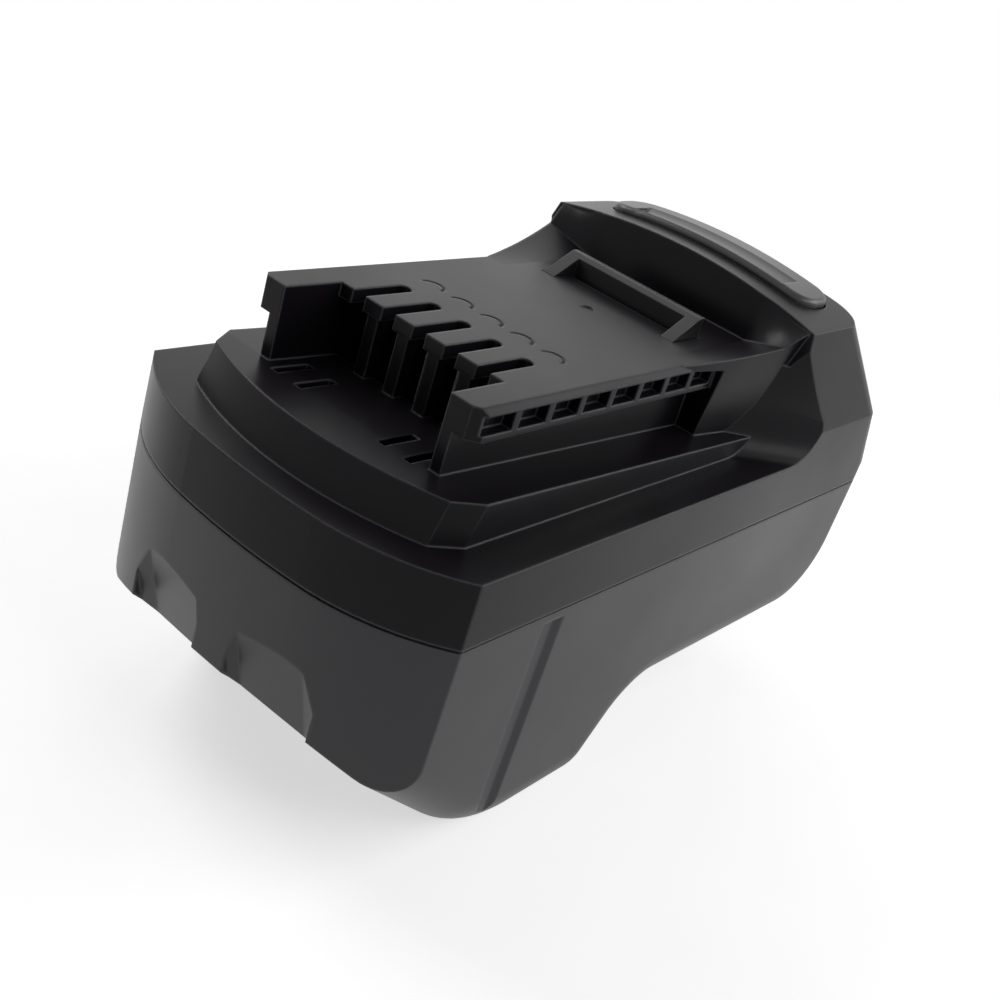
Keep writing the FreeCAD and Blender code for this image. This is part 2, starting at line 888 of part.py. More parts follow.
def pack_outline(margin, x, thickness):
    """Plate round all cells: the outline through the outer cell centres, widened by the margin."""
    top, middle, low = cell_rows()
    beside_low = [point for point in middle if point[0] > low[-1][0]][0]
    outline = [top[0], top[-1], middle[-1], beside_low, low[-1], low[0]]
    wire = closed_wire([(yv(d), h, 0) for d, h in outline], in_yz(x))
    return prism(wire.makeOffset2D(margin), V(thickness, 0, 0))


def cell_holder():
    """Holder at the +X side."""
    points = [point for row in cell_rows() for point in row]
    top_row = points[0][1]
    plate = pack_outline(holder_radius, holder_inner, holder_outer - holder_inner)
    posts = []
    for gap in pillar_gaps:
        between = first_cell + (gap + 0.5) * cell_pitch
        place = V(board_half_width - pillar_inset, yv(between), top_row)
        posts.append(Part.makeCylinder(pillar_radius, zv(board_height) - top_row, place))
    x, distance = spring_place
    place = V(x, yv(distance), top_row)
    posts.append(Part.makeCylinder(spring_post_radius, zv(spring_seat) - top_row, place))
    posts.append(Part.makeCylinder(spring_pin_radius, zv(spring_seat) + spring_pin_height - top_row, place))
    solid = fuse_all([plate] + posts).common(lower_body(wall + holder_play).fuse(
        block(-half_width, half_width, yv(0), yv(length), parting_z - 1, 2 * parting_z)))
    bores = [disc(point, cell_radius + bore_play, holder_inner - 1, 1 + holder_grip) for point in points]
    holes = [disc(point, lip_hole_radius, holder_outer - 2 * holder_lip, 3 * holder_lip) for point in points]
    return cut_all(solid, bores + holes)


# Nickel strips: square welded pads joined by short bands, with a tab to the board
def strip(chain, links, tab_cell, side):
    rows = cell_rows()
    half = strip_width / 2
    pieces = []
    for r, c in chain:
        centre = cell_axis(rows[r][c], cell_length / 2)
        pieces.append(block(cell_length / 2, strip_outer, centre.y - half, centre.y + half,
                            centre.z - half, centre.z + half))
    for (r0, c0), (r1, c1) in links:
        start = cell_axis(rows[r0][c0], holder_outer)
        end = cell_axis(rows[r1][c1], holder_outer)
        along = (end - start).normalize()
        across = V(0, -along.z, along.y) * half
        corners = [start + across, end + across, end - across, start - across]
        wire = Part.makePolygon(corners + [corners[0]])
        pieces.append(prism(wire, V(strip_thickness, 0, 0)))
    r, c = tab_cell
    centre = cell_axis(rows[r][c], holder_outer)
    front = centre.y - tab_width / 2
    rear = centre.y + tab_width / 2
    top = zv(board_height)
    pieces.append(block(holder_outer, strip_outer, front, rear, centre.z, top))
    pieces.append(block(board_notch[0] - tab_width / 2, strip_outer, front, rear, top - strip_thickness, top))
    solid = fuse_all(pieces)
    return solid if side > 0 else mirrored(solid)


def neighbours(first, second=None):
    """Links inside one or two groups: along each group, then across to the next one."""
    links = list(zip(first, first[1:]))
    if second:
        links += list(zip(second, second[1:]))
        links.append(min(((a, b) for a in first for b in second), key=link_length))
    return links


def link_length(link):
    rows = cell_rows()
    (r0, c0), (r1, c1) = link
    return cell_axis(rows[r0][c0], 0).distanceToPoint(cell_axis(rows[r1][c1], 0))


def insulator():
    return pack_outline(cell_radius - holder_lip, strip_outer + insulator_gap, insulator_thickness)


# Circuit board under the deck, with notched rear corners beside the springs
def fork_pin_place(k):
    return slot_x(k), yv((fork_front + fork_rear) / 2 + 2)


def pin_holes(low, high):
    play = fork_pin / 2 + pin_play
    holes = []
    for k in range(contact_count):
        x, y = fork_pin_place(k)
        holes.append(block(x - play, x + play, y - play, y + play, low, high))
    return holes


def circuit_board():
    low = zv(board_height)
    notch_x, notch_front = board_notch
    half = board_half_width
    corners = [
        (-half, yv(board_front), 2),
        (half, yv(board_front), 2),
        (half, yv(notch_front), 0),
        (notch_x, yv(notch_front), 0),
        (notch_x, yv(board_rear), 0),
        (-notch_x, yv(board_rear), 0),
        (-notch_x, yv(notch_front), 0),
        (-half, yv(notch_front), 0),
    ]
    board = prism(closed_wire(corners, in_xy(low)), V(0, 0, board_thickness))
    return cut_all(board, pin_holes(low - 1, low + board_thickness + 1))


def contact_block():
    low = zv(board_height + board_thickness)
    body = block(-block_half_width, block_half_width, yv(block_front), yv(block_rear), low, zv(block_top))
    return cut_all(body, pin_holes(low - 1, zv(block_top) + 1))


def fork_contact(k):
    x = slot_x(k)
    inner = fork_gap / 2
    outer = inner + fork_thickness
    low = zv(block_top)
    high = low + fork_height
    base = block(x - outer, x + outer, yv(fork_front + fork_lead), yv(fork_rear), low, low + fork_base)
    corners = [
        (yv(fork_front + fork_lead), low, 0),
        (yv(fork_rear), low, 0),
        (yv(fork_rear), high, 0),
        (yv(fork_front), high, 0),
        (yv(fork_front), low + fork_lead, 0),
    ]
    leaves = [prism(closed_wire(corners, in_yz(x + start)), V(fork_thickness, 0, 0)) for start in (-outer, inner)]
    pin_x, pin_y = fork_pin_place(k)
    half = fork_pin / 2
    pin = block(pin_x - half, pin_x + half, pin_y - half, pin_y + half, zv(board_height) - 1, low + fork_base)
    return fuse_all([base, pin] + leaves)


def temperature_sensor():
    """Bead that lies in the hollow between two cells, with its lead up to the board."""
    first, second = cell_rows()[0][3:5]
    reach = cell_radius + sensor_radius + bore_play
    drop = math.sqrt(reach ** 2 - (cell_pitch / 2) ** 2)
    centre = V(0, yv((first[0] + second[0]) / 2), first[1] + drop)
    lead = Part.makeCylinder(sensor_lead_radius, zv(board_height) - centre.z, centre)
    bead = Part.makeCylinder(sensor_radius, 2 * sensor_radius, centre - V(sensor_radius, 0, 0), V(1, 0, 0))
    return bead.fuse(lead)


def foam_pad(cell, half, low, wall_side):
    """Foam between the end cell of the top row and the shell wall; low and wall_side are distances."""
    body = block(-half, half, yv(low), yv(wall_side), foam_low, foam_high)
    return body.cut(disc(cell, cell_radius + foam_gap, -half_width, 2 * half_width))


# Latch: plate under the deck, U-shaped wedge in the deck window, two posts up to the button
def latch():
    half = latch_half_width
    low = zv(carrier_top - carrier_thickness)
    top = zv(carrier_top)
    neck = block(-half, half, yv(latch_tip), yv(carrier_rear), low, top)
    wide = block(-carrier_half_width, carrier_half_width, yv(carrier_wide_front), yv(carrier_rear), low, top)
    crest = zv(deck_height + latch_height)
    slope = closed_wire([
        (yv(latch_tip), low, 0),
        (yv(latch_bar_rear), low, 0),
        (yv(latch_bar_rear), crest, 0),
        (yv(latch_bar_rear) - latch_leg / 2, crest, 0),
        (yv(latch_tip), zv(deck_height), 0),
    ], in_yz(-half))
    wedge = prism(slope, V(2 * half, 0, 0))
    inside = half - latch_leg
    wedge = wedge.cut(block(-inside, inside, yv(latch_tip) - 1, yv(latch_bar_front), low - 1, crest + 1))
    x, distance = button_post
    roof = crown(button_wall - button_proud + post_gap, button_front, button_rear)
    posts = [Part.makeCylinder(button_post_radius, crest_height, V(side * x, yv(distance), low)).common(roof)
             for side in (1, -1)]
    return fuse_all([neck, wide, wedge] + posts)


def release_button():
    low = zv(crest_height + button_proud - button_skirt)
    top = crown(-button_proud, button_front - 5, button_rear + 5)
    body = prism(button_outline(0, low), V(0, 0, 20)).common(top)
    rounded = [edge for edge in body.Edges if edge.BoundBox.ZMin > low + EPS and edge.BoundBox.ZLength < 4]
    body = body.makeFillet(button_edge, rounded)
    hollow = prism(button_outline(-button_wall, low - 1), V(0, 0, 20))
    hollow = hollow.common(crown(button_wall - button_proud, button_front - 5, button_rear + 5))
    centre = V(0, 0, zv(crest_height) - crown_radius)
    ring = crown_radius + button_proud + groove_radius - groove_depth
    circle = Part.Wire(Part.Circle(V(0, yv(groove_place), centre.z + ring), V(1, 0, 0), groove_radius).toShape())
    turn = math.degrees(groove_half_length / crown_radius)
    groove = Part.Face(circle).revolve(centre, V(0, 1, 0), turn)
    back = Part.Face(circle).revolve(centre, V(0, 1, 0), -turn)
    return cut_all(body, [hollow, groove, back])


def latch_spring(side):
    """Coil of square wire, ground flat at both ends."""
    x, distance = spring_place
    low = zv(spring_seat)
    tall = carrier_top - carrier_thickness - spring_seat
    half = spring_wire / 2
    helix = Part.Wire(Part.makeHelix(tall / spring_turns, tall, spring_radius).Edges)
    corners = [(spring_radius - half, -half, 0), (spring_radius + half, -half, 0),
               (spring_radius + half, half, 0), (spring_radius - half, half, 0)]
    coil = helix.makePipeShell([closed_wire(corners, in_xz(0))], True, True)
    coil.translate(V(side * x, yv(distance), low))
    reach = 2 * spring_radius
    limits = block(side * x - reach, side * x + reach, yv(distance) - reach, yv(distance) + reach,
                   low, low + tall)
    return coil.common(limits)


def housing_screws():
    screws = []
    for x, y in screw_places():
        shank = Part.makeCylinder(screw_radius, parting_z + screw_engagement - screw_seat, V(x, y, screw_seat))
        head = Part.makeCylinder(screw_head_radius, screw_head_height, V(x, y, screw_seat - screw_head_height))
        screws.append(shank.fuse(head).removeSplitter())
    return Part.makeCompound(screws)


save("bottom_shell", bottom_shell())
save("top_shell", top_shell())
save("latch", latch())
save("release_button", release_button())
save("latch_spring_right", latch_spring(1))
save("latch_spring_left", latch_spring(-1))
save("cell_holder_right", cell_holder())
save("cell_holder_left", mirrored(cell_holder()))
save("end_insulator_right", insulator())
save("end_insulator_left", mirrored(insulator()))

number = 1
for index, group in enumerate(groups):
    plus_side = -1 if index % 2 == 0 else 1
    for r, c in group:
        save("cell_%02d" % number, cell_solid(cell_rows()[r][c], plus_side))
        number += 1

save("nickel_strip_right_front", strip(groups[0] + groups[1], neighbours(groups[0], groups[1]), (0, 1), 1))
save("nickel_strip_right_middle", strip(groups[2] + groups[3], neighbours(groups[2], groups[3]), (0, 3), 1))
save("nickel_strip_right_rear", strip(groups[4], neighbours(groups[4]), (0, 5), 1))
save("nickel_strip_left_front", strip(groups[0], neighbours(groups[0]), (0, 0), -1))
save("nickel_strip_left_middle", strip(groups[1] + groups[2], neighbours(groups[1], groups[2]), (0, 2), -1))
save("nickel_strip_left_rear", strip(groups[3] + groups[4], neighbours(groups[3], groups[4]), (0, 5), -1))

save("circuit_board", circuit_board())
save("contact_block", contact_block())
for k in range(contact_count):
    save("fork_contact_%d" % (k + 1), fork_contact(k))
save("temperature_sensor", temperature_sensor())

top_cells = cell_rows()[0]
bow_inner = wall + bow_middle_radius - math.sqrt(bow_middle_radius ** 2 - front_foam_half_width ** 2) + foam_gap
save("foam_pad_front", foam_pad(top_cells[0], front_foam_half_width, bow_inner, top_cells[0][0]))
save("foam_pad_rear", foam_pad(top_cells[-1], rear_foam_half_width, top_cells[-1][0], length - wall - foam_gap))
save("housing_screws", housing_screws())
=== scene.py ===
import bpy
import bmesh
import math
from mathutils import Matrix, Vector


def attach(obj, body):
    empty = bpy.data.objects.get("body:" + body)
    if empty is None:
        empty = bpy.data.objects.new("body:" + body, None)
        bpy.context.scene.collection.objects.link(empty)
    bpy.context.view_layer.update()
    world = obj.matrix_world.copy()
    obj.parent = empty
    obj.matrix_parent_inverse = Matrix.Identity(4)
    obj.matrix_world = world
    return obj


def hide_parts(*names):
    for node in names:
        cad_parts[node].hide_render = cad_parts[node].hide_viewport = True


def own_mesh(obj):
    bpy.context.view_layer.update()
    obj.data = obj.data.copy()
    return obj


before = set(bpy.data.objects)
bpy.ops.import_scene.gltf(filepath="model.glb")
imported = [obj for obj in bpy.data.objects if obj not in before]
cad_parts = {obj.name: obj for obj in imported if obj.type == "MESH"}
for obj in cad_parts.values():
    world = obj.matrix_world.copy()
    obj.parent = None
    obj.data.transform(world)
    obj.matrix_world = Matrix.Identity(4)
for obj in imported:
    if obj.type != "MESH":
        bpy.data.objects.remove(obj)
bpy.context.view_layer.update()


# Studio floor: a wide sheet of matt white paper under the battery.
# It is lit by the lamps and lifted towards white, so that only the battery's soft shadow shows on it.
# From 0.40 m out it is plain white, like the room round it.
def add(tree, kind, settings=None, values=None, links=None):
    """Adds a shader node, sets its properties and sockets, and links its inputs."""
    node = tree.nodes.new(kind)
    for key, value in (settings or {}).items():
        setattr(node, key, value)
    for key, value in (values or {}).items():
        node.inputs[key].default_value = value
    for key, source in (links or {}).items():
        tree.links.new(source, node.inputs[key])
    return node


def linear(hex_colour):
    """sRGB hex colour as a linear RGBA tuple."""
    channels = []
    for k in (0, 2, 4):
        c = int(hex_colour[k:k + 2], 16) / 255
        channels.append(c / 12.92 if c <= 0.04045 else ((c + 0.055) / 1.055) ** 2.4)
    return (*channels, 1.0)


def new_material(name):
    """Empty material and its node tree."""
    material = bpy.data.materials.new(name)
    material.use_nodes = True
    material.node_tree.nodes.clear()
    return material, material.node_tree


def ramp(tree, fac, stops):
    """Colour ramp from (position, colour) stops."""
    node = add(tree, "ShaderNodeValToRGB", links={"Fac": fac})
    elements = node.color_ramp.elements
    while len(elements) < len(stops):
        elements.new(0.5)
    for element, (position, colour) in zip(elements, stops):
        element.position = position
        element.color = colour
    return node.outputs["Color"]


def background_rays(tree):
    """1 for rays that show the background: to the camera, off gloss and metal, and through glass."""
    rays = add(tree, "ShaderNodeLightPath")
    mirrored = add(tree, "ShaderNodeMath", {"operation": "MAXIMUM"},
                   links={0: rays.outputs["Is Glossy Ray"], 1: rays.outputs["Is Transmission Ray"]})
    shown = add(tree, "ShaderNodeMath", {"operation": "MAXIMUM"},
                links={0: rays.outputs["Is Camera Ray"], 1: mirrored.outputs[0]})
    return shown.outputs[0]


floor_radius = 6.0
floor_form = bmesh.new()
bmesh.ops.create_circle(floor_form, cap_ends=True, segments=96, radius=floor_radius)
floor_mesh = bpy.data.meshes.new("floor")
floor_form.to_mesh(floor_mesh)
floor_form.free()
floor = bpy.data.objects.new("floor", floor_mesh)
bpy.context.scene.collection.objects.link(floor)

paper_colours = ("eeeeee", "f2f2f2")
paper_lift = 0.62
shadow_reach = 0.22
white_from = 0.40
floor_paper, tree = new_material("matt_white_paper_floor")
place = add(tree, "ShaderNodeTexCoord").outputs["Object"]
fibres = add(tree, "ShaderNodeTexNoise", values={"Scale": 40.0, "Detail": 3.0}, links={"Vector": place})
paper = ramp(tree, fibres.outputs["Fac"], [(0.3, linear(paper_colours[0])), (0.7, linear(paper_colours[1]))])
matt = add(tree, "ShaderNodeBsdfDiffuse", links={"Color": paper})
lift = add(tree, "ShaderNodeEmission", values={"Color": linear("ffffff"), "Strength": paper_lift})
lifted = add(tree, "ShaderNodeAddShader", links={0: matt.outputs[0], 1: lift.outputs[0]})
shown = background_rays(tree)
near = add(tree, "ShaderNodeMixShader", links={"Fac": shown, 1: matt.outputs[0], 2: lifted.outputs[0]})
away = add(tree, "ShaderNodeVectorMath", {"operation": "LENGTH"}, links={0: place})
fade = add(tree, "ShaderNodeMapRange", {"interpolation_type": "SMOOTHSTEP"},
           {"From Min": shadow_reach, "From Max": white_from}, {"Value": away.outputs["Value"]})
far = add(tree, "ShaderNodeMath", {"operation": "MULTIPLY"}, links={0: fade.outputs["Result"], 1: shown})
glow = add(tree, "ShaderNodeEmission", values={"Color": linear("ffffff"), "Strength": 1.0})
whole = add(tree, "ShaderNodeMixShader",
            links={"Fac": far.outputs[0], 1: near.outputs[0], 2: glow.outputs[0]})
add(tree, "ShaderNodeOutputMaterial", links={"Surface": whole.outputs[0]})
floor.data.materials.append(floor_paper)


# Room: white walls, which gloss, metal and glass mirror as the camera sees them.
# It gives the matt surfaces next to no light, so that their shade comes from the soft boxes.
room_light = 0.06
world = bpy.data.worlds.new("studio_room")
bpy.context.scene.world = world
world.use_nodes = True
tree = world.node_tree
tree.nodes.clear()
dim = add(tree, "ShaderNodeBackground", values={"Color": linear("ffffff"), "Strength": room_light})
white = add(tree, "ShaderNodeBackground", values={"Color": linear("ffffff"), "Strength": 1.0})
walls = add(tree, "ShaderNodeMixShader",
            links={"Fac": background_rays(tree), 1: dim.outputs[0], 2: white.outputs[0]})
add(tree, "ShaderNodeOutputWorld", links={"Surface": walls.outputs[0]})


# Soft boxes: white cloths with a lamp behind, so that black plastic shows broad soft reflections.
# The left ones light the bow and the floor beside it, the back ones give the deck its sheen
# together with the white room, and the right ones light the floor that the right side mirrors.
battery_middle = 0.05


def soft_box(name, azimuth, elevation, distance, width, height, radiance):
    """Box lamp round the battery: azimuth from +Y towards +X and elevation in degrees, sizes in metres."""
    turn = math.radians(azimuth)
    rise = math.radians(elevation)
    outward = Vector((math.sin(turn) * math.cos(rise), math.cos(turn) * math.cos(rise), math.sin(rise)))
    light = bpy.data.lights.new(name, "AREA")
    light.shape = "RECTANGLE"
    light.size = width
    light.size_y = height
    light.energy = radiance * math.pi * width * height
    lamp = bpy.data.objects.new(name, light)
    lamp.location = Vector((0.0, 0.0, battery_middle)) + distance * outward
    lamp.rotation_euler = (-outward).to_track_quat("-Z", "Y").to_euler()
    bpy.context.scene.collection.objects.link(lamp)


soft_box("soft_box_left", azimuth=-88, elevation=36, distance=0.9,
         width=0.5, height=0.3, radiance=1.0)
soft_box("soft_box_left_above", azimuth=-103, elevation=38, distance=0.6,
         width=0.30, height=0.24, radiance=5.0)
soft_box("soft_box_back_left", azimuth=-40, elevation=25, distance=1.3,
         width=0.9, height=0.85, radiance=0.45)
soft_box("soft_box_top_back", azimuth=-28, elevation=50, distance=1.0,
         width=0.6, height=0.35, radiance=0.8)
soft_box("soft_box_right", azimuth=87, elevation=36, distance=0.7,
         width=0.42, height=0.24, radiance=3.0)
soft_box("soft_box_back_right", azimuth=42, elevation=30, distance=0.55,
         width=0.34, height=0.24, radiance=3.5)


# Camera: held above the front right corner of the battery and rolled by 20 degrees.
# Place, angles and lens come from a fit to the corners that can be read in the photograph.
camera_place = Vector((0.12153, -0.20229, 0.15568))
azimuth = math.radians(28.33)
elevation = math.radians(26.54)
roll = math.radians(19.96)
forward = Vector((-math.sin(azimuth) * math.cos(elevation), math.cos(azimuth) * math.cos(elevation),
                  -math.sin(elevation)))
level = Vector((math.cos(azimuth), math.sin(azimuth), 0.0))
upright = level.cross(forward)
right = level * math.cos(roll) + upright * math.sin(roll)
up = upright * math.cos(roll) - level * math.sin(roll)
camera_data = bpy.data.cameras.new("camera")
camera_data.lens = 46.22
camera_data.sensor_width = 36.0
camera_data.shift_x = -0.0765
camera_data.shift_y = 0.0238
camera_data.clip_start = 0.01
camera = bpy.data.objects.new("camera", camera_data)
turned = Matrix((right, up, -forward)).transposed()
camera.matrix_world = Matrix.Translation(camera_place) @ turned.to_4x4()
bpy.context.scene.collection.objects.link(camera)
bpy.context.scene.camera = camera
bpy.context.scene.view_settings.view_transform = "Standard"


# Bottom shell: black glass-filled nylon, moulded in a tool with a spark-eroded, satin surface.
# The grain scatters light, so its walls look dark grey, a little cloudy where the melt flowed together.
# Real grain is about 0.05 mm, too fine to show here, so it is drawn 0.4 mm wide.
def moulded_plastic(name, colour, rough, grain_mm, grain_depth_mm, edge_mm, shine=0.5, edge_highlight_colour="4a484c"):
    """Moulded plastic: clouded colour and gloss, fine grain, and edges as round as the tool leaves them.

    The edges are painted a paler colour, a painted highlight along them. Shine 0.5 is the plain mirroring of
    the plastic.
    """
    cloud = 0.05
    tint = 0.12
    material, tree = new_material(name)
    place = add(tree, "ShaderNodeTexCoord").outputs["Object"]
    grain = add(tree, "ShaderNodeTexNoise",
                values={"Scale": 1000.0 / grain_mm, "Detail": 4.0, "Roughness": 0.6},
                links={"Vector": place})
    flow = add(tree, "ShaderNodeTexNoise", values={"Scale": 22.0, "Detail": 3.0, "Roughness": 0.55},
               links={"Vector": place})
    base = linear(colour)
    dark = tuple(c * (1 - tint) for c in base[:3]) + (1.0,)
    light = tuple(c * (1 + tint) for c in base[:3]) + (1.0,)
    paint = ramp(tree, flow.outputs["Fac"], [(0.35, dark), (0.65, light)])
    gloss = add(tree, "ShaderNodeMapRange",
                values={"From Min": 0.3, "From Max": 0.7, "To Min": rough - cloud, "To Max": rough + cloud},
                links={"Value": flow.outputs["Fac"]})
    edge = add(tree, "ShaderNodeBevel", {"samples": 6}, {"Radius": edge_mm / 1000.0})
    bump = add(tree, "ShaderNodeBump", values={"Strength": 1.0, "Distance": grain_depth_mm / 1000.0},
               links={"Height": grain.outputs["Fac"], "Normal": edge.outputs["Normal"]})
    facet = add(tree, "ShaderNodeNewGeometry").outputs["Normal"]
    # A paler colour is painted along the rounded edges that the bevel finds, convex and hollow alike: a
    # painted highlight.
    turn = add(tree, "ShaderNodeVectorMath", {"operation": "DOT_PRODUCT"},
               links={0: edge.outputs["Normal"], 1: facet})
    highlight_edges = add(tree, "ShaderNodeMapRange", values={"From Min": 0.98, "From Max": 0.84},
                  links={"Value": turn.outputs["Value"]})
    # Colour sockets of the Mix node: 0 is the factor, 6 and 7 are A and B, and output 2 is the result.
    painted_edge_highlight = add(tree, "ShaderNodeMix", {"data_type": "RGBA"}, {7: linear(edge_highlight_colour)},
               {0: highlight_edges.outputs["Result"], 6: paint})
    shader = add(tree, "ShaderNodeBsdfPrincipled", values={"IOR": 1.5, "Specular IOR Level": shine},
                 links={"Base Color": painted_edge_highlight.outputs[2], "Roughness": gloss.outputs["Result"],
                        "Normal": bump.outputs["Normal"]})
    add(tree, "ShaderNodeOutputMaterial", links={"Surface": shader.outputs[0]})
    return material


def dress(material, *names):
    """Gives CAD nodes their material on every slot."""
    for name in names:
        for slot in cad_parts[name].material_slots:
            slot.material = material


eroded_nylon = moulded_plastic("black_glass_filled_nylon_spark_eroded", "201d22", rough=0.40, grain_mm=0.40,
                               grain_depth_mm=0.012, edge_mm=0.8, shine=0.40)
dress(eroded_nylon, "bottom_shell")


# Cells: nickel-plated steel cans in a shrunk PVC sleeve, with a plus cap at one end.
# The sleeve is satin and covers the round side; the ends are bare, slightly scratched metal.
sleeve_colours = ("59a099", "4f948d")
can_colours = ("b9b8b4", "a3a29e")
sleeve_end = 0.0322
cell_skin, tree = new_material("pvc_sleeve_and_nickel_plated_steel")
place = add(tree, "ShaderNodeTexCoord").outputs["Object"]
film = add(tree, "ShaderNodeTexNoise", values={"Scale": 60.0, "Detail": 2.0}, links={"Vector": place})
sleeve_paint = ramp(tree, film.outputs["Fac"],
                    [(0.3, linear(sleeve_colours[0])), (0.7, linear(sleeve_colours[1]))])
wrinkle = add(tree, "ShaderNodeBump", values={"Strength": 0.5, "Distance": 0.00005},
              links={"Height": film.outputs["Fac"]})
sleeve = add(tree, "ShaderNodeBsdfPrincipled", values={"Roughness": 0.35, "IOR": 1.53},
             links={"Base Color": sleeve_paint, "Normal": wrinkle.outputs["Normal"]})
scratch = add(tree, "ShaderNodeTexNoise", values={"Scale": 900.0, "Detail": 3.0}, links={"Vector": place})
can_paint = ramp(tree, scratch.outputs["Fac"], [(0.4, linear(can_colours[0])), (0.6, linear(can_colours[1]))])
can = add(tree, "ShaderNodeBsdfPrincipled", values={"Metallic": 1.0, "Roughness": 0.3},
          links={"Base Color": can_paint})
across = add(tree, "ShaderNodeSeparateXYZ", links={"Vector": place})
from_middle = add(tree, "ShaderNodeMath", {"operation": "ABSOLUTE"}, links={0: across.outputs["X"]})
is_end = add(tree, "ShaderNodeMath", {"operation": "GREATER_THAN"}, {1: sleeve_end},
             {0: from_middle.outputs[0]})
both = add(tree, "ShaderNodeMixShader",
           links={"Fac": is_end.outputs[0], 1: sleeve.outputs[0], 2: can.outputs[0]})
add(tree, "ShaderNodeOutputMaterial", links={"Surface": both.outputs[0]})
dress(cell_skin, *["cell_%02d" % k for k in range(1, 16)])


# Cell holders: one plate at each end of the cells, moulded from dark grey flame-retardant ABS.
# Its plain matt surface looks a shade lighter and duller than the case.
holder_abs = moulded_plastic("dark_grey_flame_retardant_abs_moulding", "2f2e31", rough=0.55, grain_mm=0.5,
                             grain_depth_mm=0.015, edge_mm=0.3)
dress(holder_abs, "cell_holder_left", "cell_holder_right")


# Nickel strips: rolled pure nickel, punched to pads and bands and welded to the cell ends.
# Upright rolling marks, drawn 0.4 mm wide, break its satin reflections into fine streaks.
def rolled_metal(name, bright, dull, rough, line_mm, stretch):
    """Rolled or drawn metal: fine marks much longer than wide, stretched along one axis."""
    material, tree = new_material(name)
    place = add(tree, "ShaderNodeTexCoord").outputs["Object"]
    along = add(tree, "ShaderNodeMapping", values={"Scale": stretch}, links={"Vector": place})
    marks = add(tree, "ShaderNodeTexNoise", values={"Scale": 1000.0 / line_mm, "Detail": 2.0},
                links={"Vector": along.outputs["Vector"]})
    paint = ramp(tree, marks.outputs["Fac"], [(0.35, linear(dull)), (0.65, linear(bright))])
    gloss = add(tree, "ShaderNodeMapRange", values={"To Min": rough - 0.06, "To Max": rough + 0.08},
                links={"Value": marks.outputs["Fac"]})
    bump = add(tree, "ShaderNodeBump", values={"Strength": 0.4, "Distance": 0.00001},
               links={"Height": marks.outputs["Fac"]})
    shader = add(tree, "ShaderNodeBsdfPrincipled", values={"Metallic": 1.0},
                 links={"Base Color": paint, "Roughness": gloss.outputs["Result"],
                        "Normal": bump.outputs["Normal"]})
    add(tree, "ShaderNodeOutputMaterial", links={"Surface": shader.outputs[0]})
    return material


nickel = rolled_metal("rolled_nickel_strip", bright="c3bfb4", dull="aaa69c", rough=0.32, line_mm=0.4,
                      stretch=(1.0, 1.0, 0.08))
dress(nickel, *["nickel_strip_%s_%s" % (side, place)
                for side in ("left", "right") for place in ("front", "middle", "rear")])


# End insulators: grey-green fish paper, cut from sheet, between the nickel strips and the case.
# Its short pressed fibres, drawn 0.6 mm wide to show, make it dull and slightly mottled.
fibre_mm = 0.625
paper_greens = ("6f7a68", "838d7b")
fish_paper, tree = new_material("pressed_fish_paper")
place = add(tree, "ShaderNodeTexCoord").outputs["Object"]
fibres = add(tree, "ShaderNodeTexNoise", values={"Scale": 1000.0 / fibre_mm, "Detail": 4.0},
             links={"Vector": place})
paint = ramp(tree, fibres.outputs["Fac"], [(0.35, linear(paper_greens[0])), (0.65, linear(paper_greens[1]))])
bump = add(tree, "ShaderNodeBump", values={"Strength": 0.6, "Distance": 0.00003},
           links={"Height": fibres.outputs["Fac"]})
shader = add(tree, "ShaderNodeBsdfPrincipled", values={"Roughness": 0.8},
             links={"Base Color": paint, "Normal": bump.outputs["Normal"]})
add(tree, "ShaderNodeOutputMaterial", links={"Surface": shader.outputs[0]})
dress(fish_paper, "end_insulator_left", "end_insulator_right")


# Foam pads: black closed-cell foam between the cells and the case, at the front and at the rear.
# It is cut with a knife, so that opened bubbles of about 0.6 mm show as small dents, painted darker inside as
# painted shade.
bubble_mm = 0.6
foam_black_and_pit_shade = ("1b1b1c", "333335")
foam, tree = new_material("closed_cell_foam_cut")
place = add(tree, "ShaderNodeTexCoord").outputs["Object"]
bubbles = add(tree, "ShaderNodeTexVoronoi", values={"Scale": 1000.0 / bubble_mm}, links={"Vector": place})
paint = ramp(tree, bubbles.outputs["Distance"], [(0.1, linear(foam_black_and_pit_shade[0])), (0.6, linear(foam_black_and_pit_shade[1]))])
bump = add(tree, "ShaderNodeBump", values={"Strength": 0.8, "Distance": 0.0002},
           links={"Height": bubbles.outputs["Distance"]})
shader = add(tree, "ShaderNodeBsdfPrincipled", values={"Roughness": 0.85},
             links={"Base Color": paint, "Normal": bump.outputs["Normal"]})
add(tree, "ShaderNodeOutputMaterial", links={"Surface": shader.outputs[0]})
dress(foam, "foam_pad_front", "foam_pad_rear")


